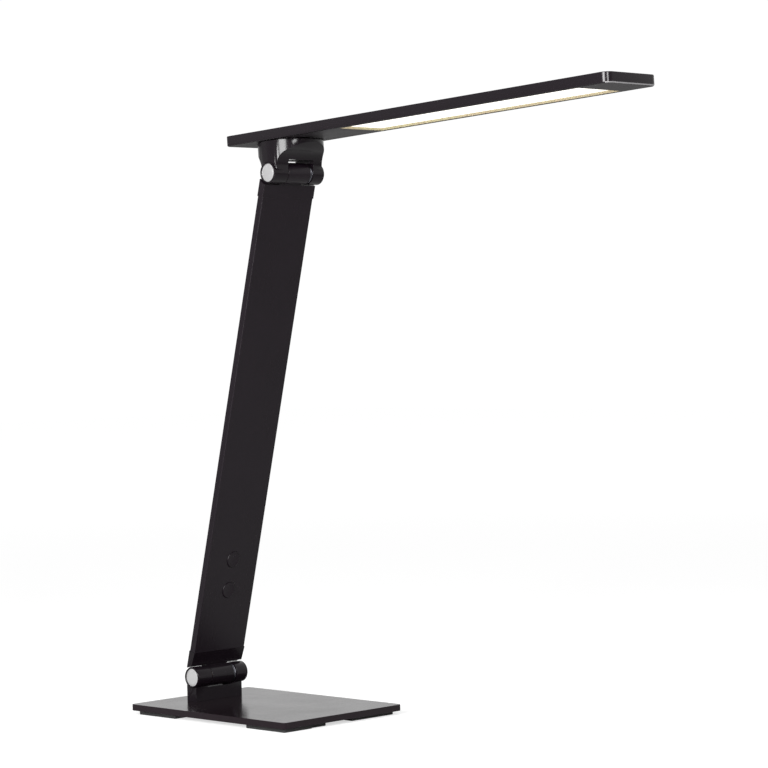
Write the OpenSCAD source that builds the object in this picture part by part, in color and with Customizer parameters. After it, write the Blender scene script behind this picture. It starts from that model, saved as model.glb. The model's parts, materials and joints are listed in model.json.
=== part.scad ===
// Folding desk lamp: a flat steel base, a pedestal with a hinge, a flat arm with two
// push buttons, a second hinge under a round neck, and a long flat light head that
// swivels on the neck. +X is the way the head points, +Y runs along the hinge axes,
// and the origin is the middle of the base, on the plane that the feet stand on.

/* [Base plate] */
// Length of the plate along X
plate_l = 180; // [170:1:210]
// Width of the plate along Y
plate_w = 130; // [124:1:160]
// Thickness of the plate
plate_t = 5.1; // [4:0.1:8]
// Radius of the plate's upright corners
plate_r = 3; // [1:0.5:8]

/* [Feet] */
// Height of a foot pad
foot_h = 3.2; // [2:0.1:6]
// Length of a foot pad along X
foot_l = 44; // [30:1:55]
// Width of a foot pad along Y
foot_w = 47; // [36:1:55]
// Distance from a pad's outer sides to the plate's edge
foot_inset = 3.3; // [2:0.1:6]
// Extra setback of the plain pads from the plate's ends
foot_setback = 3; // [0:0.1:6]
// Depth of the step in the stepped pads
foot_step = 2.1; // [1:0.1:4]
// Width of the stepped pad's full-length part
foot_lobe_w = 30; // [20:1:34]

/* [Pedestal] */
// Width of the pedestal along Y
ped_w = 50.4; // [46:0.2:53]
// Thickness of the pedestal along X
ped_t = 11; // [10.6:0.2:14]
// Distance of its back face behind the hinge axis
ped_back = 8.1; // [7:0.1:9]
// Position of the lower hinge axis along X
hinge_x = -57.8; // [-66:0.2:-40]
// Height of the lower hinge axis above the plate
hinge_h = 19.9; // [19.5:0.1:30]
// Radius of the screws that hold the pedestal
ped_screw_r = 2; // [1.5:0.1:2.4]
// Distance between those two screws
ped_screw_gap = 36; // [30:1:40]
// Depth to which they reach into the pedestal
ped_screw_depth = 8; // [5:0.5:9]

/* [Power inlet] */
// Outer radius of the inlet's body
inlet_r = 3.5; // [3:0.1:4]
// Radius of the hole that takes the plug
inlet_bore_r = 1.75; // [1.5:0.05:2]
// Length of the inlet's body
inlet_l = 8.6; // [7:0.1:9]
// Height of the inlet above the plate
inlet_h = 5; // [4.6:0.1:6]

/* [Hinge knuckles] */
// Radius of the knuckles
knuckle_r = 8.5; // [8.4:0.1:9.2]
// Distance by which the knuckles' outer ends stand out past the arm's sides
knuckle_proud = 0.1; // [0:0.05:0.5]
// Chamfer on the outer ends
knuckle_chamfer = 0.6; // [0.3:0.1:0.8]
// Width of the middle knuckle
mid_w = 23.4; // [18:0.2:26]
// Shift of the middle knuckle along Y
mid_shift = 0.2; // [-1:0.1:1]
// Radial space between the outer knuckles and the arm's ends
knuckle_space = 0.9; // [0.5:0.1:2]

/* [Hinge hardware] */
// Radius of the hinge pins
pin_r = 3; // [2.5:0.1:3.5]
// Radial running clearance of pins and bolts
run_gap = 0.05; // [0.02:0.01:0.1]
// Radial clearance of parts that don't move on each other
fit_gap = 0.03; // [0.01:0.01:0.1]
// Radius of the pins' heads
pin_head_r = 5.4; // [4.6:0.1:5.6]
// Thickness of the pins' heads and of the nuts
pin_head_t = 3; // [2.5:0.1:4]
// Radius of the pockets for head and nut
pin_pocket_r = 6; // [5.8:0.1:6.4]
// Thickness of the thin friction washer
friction_t = 0.6; // [0.4:0.1:1]
// Thickness of one spring washer
spring_t = 1.1; // [0.6:0.1:1.3]
// Outer radius of the washers
washer_r = 7.6; // [6:0.1:8]
// Radius of the round end caps
cap_r = 7.3; // [7:0.1:7.4]
// Thickness of the end caps
cap_t = 1; // [0.8:0.1:1.4]
// Depth by which the caps lie inside the knuckles' ends
cap_recess = 0.75; // [0:0.05:0.9]

/* [Arm] */
// Lean of the arm from the vertical, in degrees
arm_lean = 14.1; // [0:0.1:30]
// Distance between the two hinge axes
arm_l = 417.3; // [320:0.1:480]
// Width of the arm tube along Y
arm_w = 54.8; // [54:0.2:60]
// Thickness of the arm tube
arm_t = 6; // [5.8:0.1:7]
// Distance of the arm's back face behind the hinge axes
arm_back = 6.7; // [6.4:0.1:7.4]
// Wall of the arm tube
arm_wall = 1.2; // [1:0.1:1.4]
// Outer corner radius of the arm tube
arm_r = 0.6; // [0.4:0.1:1.1]
// Distance from the lower hinge axis to the tube
tube_start = 21; // [18:0.5:26]
// Distance from the tube to the upper hinge axis
tube_end = 20; // [18:0.5:26]
// Height by which the end blocks stand proud of the tube
block_proud = 0.3; // [0.1:0.1:0.6]
// Length of the end blocks' tongues inside the tube
tongue_l = 14; // [10:0.5:18]
// Depth of the slope on the lower block's front face
block_slope = 1.4; // [0.6:0.1:2]
// Radius of the end blocks' screws
block_screw_r = 1.2; // [1:0.1:1.3]
// Distance between the two screws of a block
block_screw_gap = 30; // [20:1:40]

/* [Buttons] */
// Radius of a button
button_r = 6.6; // [5:0.1:7.5]
// Distance of the lower button from the lower hinge axis
button_low = 72; // [66:0.5:100]
// Distance between the two buttons
button_gap = 26; // [20:0.5:34]
// Travel of a button
button_travel = 0.5; // [0.3:0.05:0.6]
// Height by which a button stands out of the arm
button_proud = 0.6; // [0.55:0.05:0.8]
// Radial gap round a button
button_clear = 0.3; // [0.2:0.05:0.5]
// Width of the flange that keeps a button in
button_flange = 1; // [0.8:0.1:1.5]
// Thickness of that flange
flange_t = 0.5; // [0.4:0.05:0.5]
// Thickness of the switch board
board_t = 0.8; // [0.6:0.1:0.9]
// Thickness of the foam under the switch board
foam_t = 0.4; // [0.3:0.05:0.5]
// Width of the switch board
board_w = 22; // [18:1:40]
// Height of a switch
switch_t = 0.9; // [0.8:0.05:0.95]
// Side length of a switch
switch_w = 6; // [5:0.5:8]
// Width of the flat cable in the arm
cable_w = 9; // [6:0.5:14]
// Thickness of the flat cable
cable_t = 0.5; // [0.3:0.05:0.6]

/* [Neck] */
// Radius of the round neck
neck_r = 26.2; // [25.6:0.1:26.4]
// Distance from the upper hinge axis to the head's underside
neck_h = 25.65; // [25.2:0.05:30]
// Half thickness of the neck beside the hinge
neck_half_t = 8.3; // [8:0.1:8.5]
// Radius of the hollows that flare the neck out
flare_r = 14; // [13:0.1:15]
// Height at which the front hollow starts
flare_front = 3.9; // [3:0.1:5]
// Height at which the back hollow starts
flare_back = 1.5; // [1:0.1:3]
// Height of the hinge pocket's front lip
pocket_front = 9.9; // [9.6:0.1:10.4]
// Height of the hinge pocket's back lip
pocket_back = 10.7; // [10.4:0.1:11.2]

/* [Swivel] */
// Radius of the swivel bolt's shoulder
bolt_r = 4; // [3.5:0.1:4.5]
// Radius of the bolt's thread
thread_r = 3; // [2.5:0.1:3.3]
// Radius of the bolt's head
bolt_head_r = 6.4; // [5.6:0.1:6.6]
// Thickness of the bolt's head
bolt_head_t = 2.6; // [2.2:0.1:2.8]
// Radius of the wire passage through the bolt
wire_r = 1.6; // [1.2:0.1:1.8]
// Radius of the bolt's recess in the neck
recess_r = 7; // [6.8:0.1:7.2]
// Height of that recess's roof
recess_top = 14.6; // [14.2:0.1:15]
// Radius of the friction disc
disc_r = 15; // [12:0.5:16]
// Thickness of the friction disc
disc_t = 0.6; // [0.4:0.1:1]

/* [Head] */
// Length of the head
head_l = 396.2; // [372:0.2:440]
// Width of the head
head_w = 56.2; // [55:0.2:60]
// Thickness of the head
head_t = 8; // [7.8:0.1:10]
// Tilt of the head from the horizontal, nose up, in degrees
head_tilt = 3.15; // [0:0.05:10]
// Length of the head behind the neck's axis
head_back = 47.3; // [44:0.1:60]
// Radius of the head's upright corners
head_r = 6.4; // [2.2:0.1:8]
// Side wall of the housing
head_wall = 1.5; // [1.2:0.1:1.8]
// Top wall of the housing
head_top = 2; // [1.9:0.1:2.1]
// Thickness of the underside cover
cover_t = 2; // [1.6:0.05:2]
// Gap between the cover and the housing's walls
cover_gap = 0.1; // [0.05:0.05:0.3]

/* [Light] */
// Length of the light opening
light_l = 240; // [200:1:245]
// Width of the light opening
light_w = 46.5; // [38:0.5:47]
// Distance from the neck's axis to the light opening
light_start = 78; // [74:0.5:84]
// Overlap of the diffuser on the cover
diffuser_lap = 2; // [1:0.1:2.2]
// Thickness of the diffuser
diffuser_t = 1; // [0.8:0.1:1]
// Thickness of the light guide
guide_t = 2.4; // [2:0.1:2.4]
// Thickness of the reflector sheet
reflector_t = 0.4; // [0.2:0.05:0.4]
// Thickness of the LED strip's board
strip_t = 1; // [0.6:0.1:1]
// Height of the LED strip's board
strip_h = 2.8; // [2.4:0.1:2.9]
// Depth of one LED
led_t = 0.8; // [0.5:0.05:0.8]
// Length of one LED
led_l = 3; // [2:0.1:4]
// Number of LEDs
led_n = 30; // [12:1:40]

/* [Head fittings] */
// Side length of the mounting block
block_l = 40; // [36:1:44]
// Distance of the block's screws from the neck's axis, along X and Y
block_screw_pos = 14; // [13:0.5:15]
// Radius of those screws
head_screw_r = 1.5; // [1.2:0.1:1.6]
// Depth to which they reach into the housing
head_screw_depth = 1.2; // [0.8:0.1:1.4]
// Length of the driver board
driver_l = 44; // [30:1:46]
// Width of the driver board
driver_w = 30; // [20:1:40]
// Height of the pegs that carry the driver board
peg_h = 1.2; // [0.8:0.1:1.4]
// Radius of those pegs
peg_r = 1.6; // [1.2:0.1:2]

/* [Hidden] */
$fn = 96;
// Small overshoot of a cutter past a face
eps = 0.5;
// Distance from the lamp's middle plane to a knuckle's outer end
knuckle_end = arm_w / 2 + knuckle_proud;
plate_z = foot_h;
plate_top = plate_z + plate_t;
hinge_z = plate_top + hinge_h;
upper_x = hinge_x + arm_l * sin(arm_lean);
upper_z = hinge_z + arm_l * cos(arm_lean);
ped_front = ped_t - ped_back;
ped_mid_x = ped_front - ped_t / 2;
mid_a = mid_shift - mid_w / 2;
mid_b = mid_shift + mid_w / 2;
spring_n = 3;
// Amount by which every second spring washer is smaller
spring_step = 0.5;
gap_a = mid_a - friction_t;
gap_b = mid_b + spring_n * spring_t;
cap_seat = knuckle_end - cap_recess - cap_t;
// Free space between a pin's head or nut and the cap over it
cap_air = 0.4;
// Thickness of the plug on a cap, which enters the pocket
cap_plug_t = 0.3;
// Closed end of the power inlet, radius of its centre pin and where that pin starts and stops
inlet_floor = 1;
inlet_pin_r = 0.6;
inlet_pin_start = 1;
inlet_pin_stop = inlet_l - inlet_floor / 2;
pocket_floor = cap_seat - cap_air - pin_head_t;
// Radius of the hexagonal socket in a pin's head, and the height at which it starts
socket_r = 2.3;
socket_start = pin_head_t / 3;
clear_r = knuckle_r + knuckle_space;
arm_front = arm_t - arm_back;
tube_l = arm_l - tube_start - tube_end;
cavity_back = arm_wall - arm_back;
cavity_front = arm_front - arm_wall;
cavity_r = arm_r / 2;
// Gap between a tongue and the tube's inner walls
tongue_gap = 0.05;
// Distance from a hinge axis to where an end block's body starts
block_start = 6;
// Amount by which a block screw's head is wider than its shank
csk_w = 1;
buttons = [button_low, button_low + button_gap];
board_top = cavity_back + foam_t + board_t;
// Length of the switch board past a button's middle
board_margin = 14;
board_start = button_low - board_margin;
board_end = button_low + button_gap + board_margin;
// Depth of a button's dish, the flat rim round it and the radius that gives
dish_depth = 0.35;
dish_rim = 1;
dish_r = (pow(button_r - dish_rim, 2) + dish_depth * dish_depth) / (2 * dish_depth);
// Radius of a button's stem and of the hole in the switch that it enters
stem_r = 1.4;
stem_bore_r = 1.8;
// Thickness of a switch under that hole, and the space left over it when pressed
switch_floor = 0.2;
stem_gap = 0.05;
stem_tip = board_top + switch_floor + stem_gap + button_travel;
// Distance of the flat cable's ends from the tongues and the switch board
cable_gap = 1;
neck_top = neck_h - disc_t;
// Spring washer between the bolt's head and the recess's roof
washer_t = 0.6;
bolt_seat = recess_top - washer_t;
// Space between the bolt's end and the housing's roof
bolt_end_gap = 1;
// Slope of the flare above the hollows, in degrees
flare_angle = 30;
// A length past every face of the neck, for cutters
reach = 60;
head_front = head_l - head_back;
head_mid = head_front - head_l / 2;
cover_top = neck_h + cover_t;
ceiling = neck_h + head_t - head_top;
inner_l = head_l - 2 * head_wall;
inner_w = head_w - 2 * head_wall;
inner_r = max(0.5, head_r - head_wall / 2);
light_mid = light_start + light_l / 2;
diffuser_l = light_l + 2 * diffuser_lap;
diffuser_w = light_w + 2 * diffuser_lap;
guide_z = cover_top + diffuser_t;
reflector_z = guide_z + guide_t;
// LED strip along the near wall: gap to the light guide and margin over and under the LEDs
strip_y = -inner_w / 2;
led_gap = 0.1;
led_margin = 0.4;
guide_y = strip_y + strip_t + led_t + led_gap;
// Gap between the light guide and the far wall
guide_end_gap = 0.3;
guide_w = inner_w / 2 - guide_end_gap - guide_y;
// Amount by which a head screw's head is wider than its shank
head_csk_w = 0.8;
head_screw_head_r = head_screw_r + head_csk_w;
// Driver board: space from the mounting block, thickness and what stands on it
driver_gap = 5;
driver_t = 1;
driver_start = block_l / 2 + driver_gap;
driver_z = cover_top + peg_h;
transformer = [12, 14, 1.5];
transformer_at = [6, 8];
capacitor_r = 4;
capacitor_h = 1.5;
capacitor_at = [26, 15];
connector = [6, 10, 1.2];
connector_at = [34, 10];

// Frame of the arm: X out of its front face, Z along it, origin on the lower hinge axis
module in_arm() translate([hinge_x, 0, hinge_z]) rotate([0, arm_lean, 0]) children();

// Frame of the neck and head: X along the head, Z across it, origin on the upper hinge axis
module in_head() translate([upper_x, 0, upper_z]) rotate([0, -head_tilt, 0]) children();

// Frame of the lower hinge, upright with the base
module in_hinge() translate([hinge_x, 0, hinge_z]) children();

// Cylinder along Y from y0 to y1
module y_rod(r, y0, y1) rotate([-90, 0, 0]) translate([0, 0, y0]) cylinder(r = r, h = y1 - y0);

// Cylinder along X from x0 to x1
module x_rod(r, x0, x1) rotate([0, 90, 0]) translate([0, 0, x0]) cylinder(r = r, h = x1 - x0);

// Ring along Y
module y_ring(r, bore, y0, y1) difference() {
  y_rod(r, y0, y1);
  y_rod(bore, y0 - eps, y1 + eps);
}

// Box given by its two corners
module block(a, b) translate(a) cube(b - a);

// Flat rectangle with round corners, centred
module round_rect(l, w, r) {
  square([l - 2 * r, w], center = true);
  square([l, w - 2 * r], center = true);
  for (sx = [-1, 1], sy = [-1, 1]) translate([sx * (l / 2 - r), sy * (w / 2 - r)]) circle(r = r);
}

// Outline in the XZ plane, extruded along Y from y0 to y1
module y_prism(y0, y1) translate([0, y1, 0]) rotate([90, 0, 0]) linear_extrude(y1 - y0) children();

// Outer knuckle along Y with a chamfer at its outer end
module outer_knuckle(inner, outer) rotate([-90, 0, 0]) rotate_extrude()
  polygon([[0, inner], [knuckle_r, inner], [knuckle_r, outer - knuckle_chamfer],
    [knuckle_r - knuckle_chamfer, outer], [0, outer]]);

// The two outer knuckles of a hinge
module knuckle_pair() {
  outer_knuckle(gap_b, knuckle_end);
  mirror([0, 1, 0]) outer_knuckle(-gap_a, knuckle_end);
}

// Bores, pockets and cap seats of the two outer knuckles
module knuckle_bores() {
  y_rod(pin_r + fit_gap, -knuckle_end, knuckle_end);
  for (side = [0, 1]) mirror([0, side, 0]) {
    y_rod(pin_pocket_r, pocket_floor, knuckle_end);
    y_rod(cap_r + fit_gap, cap_seat, knuckle_end + eps);
  }
}

// Countersunk screw along +Z with its head's face at the origin
module countersunk(r, head_r, l) rotate_extrude()
  polygon([[0, 0], [head_r, 0], [r, head_r - r], [r, l], [0, l]]);

// Headed hinge pin with a hexagonal socket
module hinge_pin() difference() {
  union() {
    y_rod(pin_r, -pocket_floor - eps / 2, pocket_floor + pin_head_t);
    y_rod(pin_head_r, -pocket_floor - pin_head_t, -pocket_floor);
  }
  rotate([90, 0, 0]) translate([0, 0, pocket_floor + socket_start])
    cylinder(r = socket_r, h = pin_head_t, $fn = 6);
}

// Hexagonal nut on the far end of a hinge pin
module hinge_nut() difference() {
  rotate([-90, 0, 0]) translate([0, 0, pocket_floor]) cylinder(r = pin_head_r, h = pin_head_t, $fn = 6);
  y_rod(pin_r + fit_gap, pocket_floor - eps, pocket_floor + pin_head_t + eps);
}

// Thin washer on the near side of the middle knuckle
module friction_washer() y_ring(washer_r, pin_r + run_gap, gap_a, mid_a);

// Stack of spring washers on the far side of the middle knuckle
module spring_washers() for (i = [0 : spring_n - 1])
  y_ring(washer_r - spring_step * (i % 2), pin_r + run_gap, mid_b + i * spring_t,
    mid_b + (i + 1) * spring_t);

// Round end cap on the near side, with a plug that enters the pocket
module end_cap() {
  y_rod(cap_r, -cap_seat - cap_t, -cap_seat);
  y_rod(pin_pocket_r - fit_gap, -cap_seat, -cap_seat + cap_plug_t);
}

module base_plate() color([0.07, 0.07, 0.07]) difference() {
  translate([0, 0, plate_z]) linear_extrude(plate_t) round_rect(plate_l, plate_w, plate_r);
  for (sy = [-1, 1]) translate([hinge_x + ped_mid_x, sy * ped_screw_gap / 2, plate_z]) {
    translate([0, 0, -eps]) cylinder(r = ped_screw_r + fit_gap, h = plate_t + 2 * eps);
    translate([0, 0, -fit_gap]) countersunk(ped_screw_r + fit_gap, 2 * ped_screw_r + 2 * fit_gap, plate_t);
  }
}

module base_screws() color([0.55, 0.55, 0.56])
  for (sy = [-1, 1]) translate([hinge_x + ped_mid_x, sy * ped_screw_gap / 2, plate_z])
    countersunk(ped_screw_r, 2 * ped_screw_r, plate_t + ped_screw_depth - fit_gap);

// Pad under the corner at +X and -Y, with a step in its end
module stepped_foot() translate([plate_l / 2 - foot_inset - foot_l, foot_inset - plate_w / 2, 0])
  linear_extrude(foot_h) {
    square([foot_l, foot_lobe_w]);
    square([foot_l - foot_step, foot_w]);
  }

// Pad under the corner at +X and +Y, a plain rectangle set further back
module plain_foot() translate([plate_l / 2 - foot_inset - foot_setback - foot_l,
    plate_w / 2 - foot_inset - foot_w, 0])
  linear_extrude(foot_h) square([foot_l, foot_w]);

module foot_front_left() color([0.1, 0.1, 0.1]) plain_foot();
module foot_front_right() color([0.1, 0.1, 0.1]) stepped_foot();
module foot_back_left() color([0.1, 0.1, 0.1]) rotate([0, 0, 180]) stepped_foot();
module foot_back_right() color([0.1, 0.1, 0.1]) rotate([0, 0, 180]) plain_foot();

// Cast bracket with the two outer knuckles of the lower hinge
module pedestal() color([0.06, 0.06, 0.06]) difference() {
  in_hinge() {
    knuckle_pair();
    block([-ped_back, -ped_w / 2, -hinge_h], [ped_front, ped_w / 2, 0]);
  }
  in_hinge() {
    y_rod(clear_r, gap_a, gap_b);
    block([-reach, gap_a, 0], [reach, gap_b, reach]);
    knuckle_bores();
    translate([0, 0, inlet_h - hinge_h])
      x_rod(inlet_r + fit_gap, -ped_back - eps, inlet_l - ped_back + fit_gap);
    for (sy = [-1, 1]) translate([ped_mid_x, sy * ped_screw_gap / 2, -hinge_h - eps])
      cylinder(r = ped_screw_r + fit_gap, h = ped_screw_depth + eps);
  }
}

// Socket for a small round power plug, open to the back
module power_inlet() color([0.12, 0.12, 0.12])
  in_hinge() translate([-ped_back, 0, inlet_h - hinge_h]) {
    difference() {
      x_rod(inlet_r, 0, inlet_l);
      x_rod(inlet_bore_r, -eps, inlet_l - inlet_floor);
    }
    x_rod(inlet_pin_r, inlet_pin_start, inlet_pin_stop);
  }

module lower_pin() color([0.62, 0.62, 0.64]) in_hinge() hinge_pin();
module lower_nut() color([0.62, 0.62, 0.64]) in_hinge() hinge_nut();
module lower_friction_washer() color([0.75, 0.6, 0.3]) in_hinge() friction_washer();
module lower_spring_washers() color([0.3, 0.3, 0.31]) in_hinge() spring_washers();
module lower_bright_cap() color([0.85, 0.85, 0.86]) in_hinge() end_cap();
module lower_dark_cap() color([0.06, 0.06, 0.06]) in_hinge() mirror([0, 1, 0]) end_cap();

// End block's body, tongue, web and knuckle in a frame whose Z runs from the hinge to the tube
module end_block(seat, slope) difference() {
  union() {
    difference() {
      block([-arm_back - block_proud, -arm_w / 2 - block_proud, block_start],
        [arm_front + block_proud, arm_w / 2 + block_proud, seat]);
      y_prism(-reach, reach) polygon([[arm_front + block_proud, seat], [reach, seat], [reach, 0],
        [arm_front + block_proud - slope * seat / (seat - clear_r), 0]]);
      for (span = [[-reach, mid_a], [mid_b, reach]]) y_rod(clear_r, span[0], span[1]);
    }
    block([cavity_back + tongue_gap, tongue_gap + arm_wall - arm_w / 2, seat - eps],
      [cavity_front - tongue_gap, arm_w / 2 - arm_wall - tongue_gap, seat + tongue_l]);
    y_rod(knuckle_r, mid_a, mid_b);
  }
  y_rod(pin_r + run_gap, -reach, reach);
  for (sy = [-1, 1]) translate([0, sy * block_screw_gap / 2, seat + tongue_l / 2])
    x_rod(block_screw_r + fit_gap, -arm_back, arm_front);
}

// Turns the frame of the lower hinge into that of the upper one, looking down the arm
module from_upper() translate([0, 0, arm_l]) mirror([0, 0, 1]) children();

module arm_lower_block() color([0.06, 0.06, 0.06]) in_arm() end_block(tube_start, block_slope);
module arm_upper_block() color([0.06, 0.06, 0.06]) in_arm() from_upper() end_block(tube_end, 0);

// The two screws of one end block, put in from the back of the tube
module block_screws(seat) for (sy = [-1, 1])
  translate([-arm_back, sy * block_screw_gap / 2, seat + tongue_l / 2]) rotate([0, 90, 0])
    countersunk(block_screw_r, block_screw_r + csk_w, arm_t - arm_wall - tongue_gap);

module lower_block_screws() color([0.2, 0.2, 0.2]) in_arm() block_screws(tube_start);
module upper_block_screws() color([0.2, 0.2, 0.2]) in_arm() from_upper() block_screws(tube_end);

// Screw holes of one end block in the tube's back wall
module tube_screw_holes(seat) for (sy = [-1, 1])
  translate([-arm_back, sy * block_screw_gap / 2, seat + tongue_l / 2]) rotate([0, 90, 0]) {
    translate([0, 0, -eps]) cylinder(r = block_screw_r + fit_gap, h = arm_wall + 2 * eps);
    translate([0, 0, -fit_gap])
      countersunk(block_screw_r + fit_gap, block_screw_r + csk_w + 2 * fit_gap, arm_wall);
  }

module arm_tube() color([0.05, 0.05, 0.05]) in_arm() difference() {
  translate([arm_front - arm_t / 2, 0, tube_start]) linear_extrude(tube_l) difference() {
    round_rect(arm_t, arm_w, arm_r);
    round_rect(arm_t - 2 * arm_wall, arm_w - 2 * arm_wall, cavity_r);
  }
  tube_screw_holes(tube_start);
  from_upper() tube_screw_holes(tube_end);
  for (s = buttons) translate([0, 0, s]) x_rod(button_r + button_clear, cavity_front - eps, arm_front + eps);
}

module switch_foam() color([0.2, 0.2, 0.22]) in_arm()
  block([cavity_back, -board_w / 2, board_start], [cavity_back + foam_t, board_w / 2, board_end]);

module switch_board() color([0.05, 0.3, 0.15]) in_arm()
  block([cavity_back + foam_t, -board_w / 2, board_start], [board_top, board_w / 2, board_end]);

// Flat switches, each with a hole that the button's stem enters
module switches() color([0.75, 0.75, 0.76]) in_arm()
  for (s = buttons) translate([0, 0, s]) difference() {
    block([board_top, -switch_w / 2, -switch_w / 2], [board_top + switch_t, switch_w / 2, switch_w / 2]);
    x_rod(stem_bore_r, board_top + switch_floor, board_top + switch_t + eps);
  }

// Flat cable on the back wall, below and above the switch board
module arm_cable() color([0.15, 0.15, 0.16]) in_arm()
  for (span = [[tube_start + tongue_l, board_start], [board_end, arm_l - tube_end - tongue_l]])
    block([cavity_back, -cable_w / 2, span[0] + cable_gap],
      [cavity_back + cable_t, cable_w / 2, span[1] - cable_gap]);

// Push button: a round cap with a shallow dish, a flange behind the wall and a stem
module button() color([0.04, 0.04, 0.04]) difference() {
  union() {
    x_rod(button_r, cavity_front - flange_t, arm_front + button_proud);
    x_rod(button_r + button_flange, cavity_front - flange_t, cavity_front);
    x_rod(stem_r, stem_tip, cavity_front);
  }
  translate([arm_front + button_proud, 0, 0]) rotate([0, 90, 0])
    translate([0, 0, dish_r - dish_depth]) sphere(r = dish_r);
}

module button_lower() in_arm() translate([0, 0, buttons[0]]) button();
module button_upper() in_arm() translate([0, 0, buttons[1]]) button();

// Side outline of one hollow that flares the neck, towards +X, starting at height h
module flare_cut(h) {
  cx = neck_half_t + flare_r;
  tx = cx - flare_r * sin(flare_angle);
  tz = h + flare_r * cos(flare_angle);
  translate([neck_half_t, -reach]) square([reach, reach + h]);
  translate([cx, h]) circle(r = flare_r);
  polygon([[tx, h], [tx, tz], [reach, tz + (reach - tx) * tan(flare_angle)], [reach, h]]);
}

// Cast neck: a round top, hollowed at front and back, on the two outer knuckles
module neck() color([0.06, 0.06, 0.06]) in_head() difference() {
  union() {
    intersection() {
      cylinder(r = neck_r, h = neck_top);
      y_prism(-reach, reach) difference() {
        translate([-reach, 0]) square([2 * reach, neck_top]);
        flare_cut(flare_front);
        mirror([1, 0]) flare_cut(flare_back);
      }
    }
    knuckle_pair();
  }
  y_prism(gap_a, gap_b) polygon([[-reach, -reach], [reach, -reach],
    [reach, pocket_z(reach)], [-reach, pocket_z(-reach)]]);
  knuckle_bores();
  cylinder(r = recess_r, h = recess_top);
  cylinder(r = bolt_r + run_gap, h = reach);
}

// Height of the hinge pocket's sloping roof at a place along the head
function pocket_z(x) = (pocket_front + pocket_back) / 2
  - x * (pocket_back - pocket_front) / (2 * neck_half_t);

module upper_pin() color([0.62, 0.62, 0.64]) in_head() hinge_pin();
module upper_nut() color([0.62, 0.62, 0.64]) in_head() hinge_nut();
module upper_friction_washer() color([0.75, 0.6, 0.3]) in_head() friction_washer();
module upper_spring_washers() color([0.3, 0.3, 0.31]) in_head() spring_washers();
module upper_bright_cap() color([0.85, 0.85, 0.86]) in_head() end_cap();
module upper_dark_cap() color([0.06, 0.06, 0.06]) in_head() mirror([0, 1, 0]) end_cap();

// Ring along the neck's axis
module z_ring(r, bore, z0, z1) difference() {
  translate([0, 0, z0]) cylinder(r = r, h = z1 - z0);
  translate([0, 0, z0 - eps]) cylinder(r = bore, h = z1 - z0 + 2 * eps);
}

module friction_disc() color([0.85, 0.85, 0.8]) in_head()
  z_ring(disc_r, bolt_r + run_gap, neck_top, neck_h);

// Shoulder bolt, put in from the hinge pocket, with a passage for the wires
module swivel_bolt() color([0.62, 0.62, 0.64]) in_head() difference() {
  union() {
    translate([0, 0, bolt_seat - bolt_head_t]) cylinder(r = bolt_head_r, h = bolt_head_t);
    translate([0, 0, bolt_seat]) cylinder(r = bolt_r, h = cover_top - bolt_seat);
    translate([0, 0, cover_top]) cylinder(r = thread_r, h = ceiling - bolt_end_gap - cover_top);
  }
  cylinder(r = wire_r, h = reach);
}

module swivel_washer() color([0.3, 0.3, 0.31]) in_head()
  z_ring(bolt_head_r, bolt_r + run_gap, bolt_seat, recess_top);

// Flat shell with round upright corners, open below
module head_housing() color([0.05, 0.05, 0.05]) in_head() difference() {
  translate([head_mid, 0, neck_h]) linear_extrude(head_t) round_rect(head_l, head_w, head_r);
  translate([head_mid, 0, neck_h - eps])
    linear_extrude(ceiling - neck_h + eps) round_rect(inner_l, inner_w, inner_r);
  head_screw_places() cylinder(r = head_screw_r + fit_gap, h = ceiling - neck_h + head_screw_depth + fit_gap);
}

// Places of the four screws round the neck's axis, at the head's underside
module head_screw_places() for (sx = [-1, 1], sy = [-1, 1])
  translate([sx * block_screw_pos, sy * block_screw_pos, neck_h]) children();

module head_screws() color([0.2, 0.2, 0.2]) in_head() head_screw_places()
  countersunk(head_screw_r, head_screw_head_r, ceiling - neck_h + head_screw_depth);

// Cover of the underside, with the light opening and pegs for the driver board
module head_cover() color([0.1, 0.1, 0.1]) in_head() difference() {
  union() {
    translate([head_mid, 0, neck_h]) linear_extrude(cover_t)
      round_rect(inner_l - 2 * cover_gap, inner_w - 2 * cover_gap, inner_r);
    for (px = [peg_r, driver_l - peg_r], sy = [-1, 1])
      translate([driver_start + px, sy * (driver_w / 2 - peg_r), neck_h])
        cylinder(r = peg_r, h = cover_t + peg_h);
  }
  translate([light_start, -light_w / 2, neck_h - eps]) cube([light_l, light_w, cover_t + 2 * eps]);
  translate([0, 0, neck_h - eps]) cylinder(r = bolt_r + fit_gap, h = cover_t + 2 * eps);
  head_screw_places() translate([0, 0, -eps]) cylinder(r = head_screw_r + fit_gap, h = cover_t + 2 * eps);
  head_screw_places() translate([0, 0, -fit_gap])
    countersunk(head_screw_r + fit_gap, head_screw_head_r + 2 * fit_gap, cover_t);
}

// Block that joins the swivel bolt, the cover and the housing
module mounting_block() color([0.6, 0.6, 0.62]) in_head() difference() {
  block([-block_l / 2, -block_l / 2, cover_top], [block_l / 2, block_l / 2, ceiling]);
  translate([0, 0, cover_top - eps]) cylinder(r = thread_r + fit_gap, h = reach);
  head_screw_places() cylinder(r = head_screw_r + fit_gap, h = head_t);
}

// Driver board with a transformer, a capacitor and a connector
module driver_board() color([0.05, 0.3, 0.15]) in_head()
  translate([driver_start, -driver_w / 2, driver_z]) {
    cube([driver_l, driver_w, driver_t]);
    translate([transformer_at.x, transformer_at.y, driver_t]) cube(transformer);
    translate([capacitor_at.x, capacitor_at.y, driver_t]) cylinder(r = capacitor_r, h = capacitor_h);
    translate([connector_at.x, connector_at.y, driver_t]) cube(connector);
  }

// Plate centred on the light opening
module light_plate(l, w, z0, z1)
  block([light_mid - l / 2, -w / 2, z0], [light_mid + l / 2, w / 2, z1]);

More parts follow.
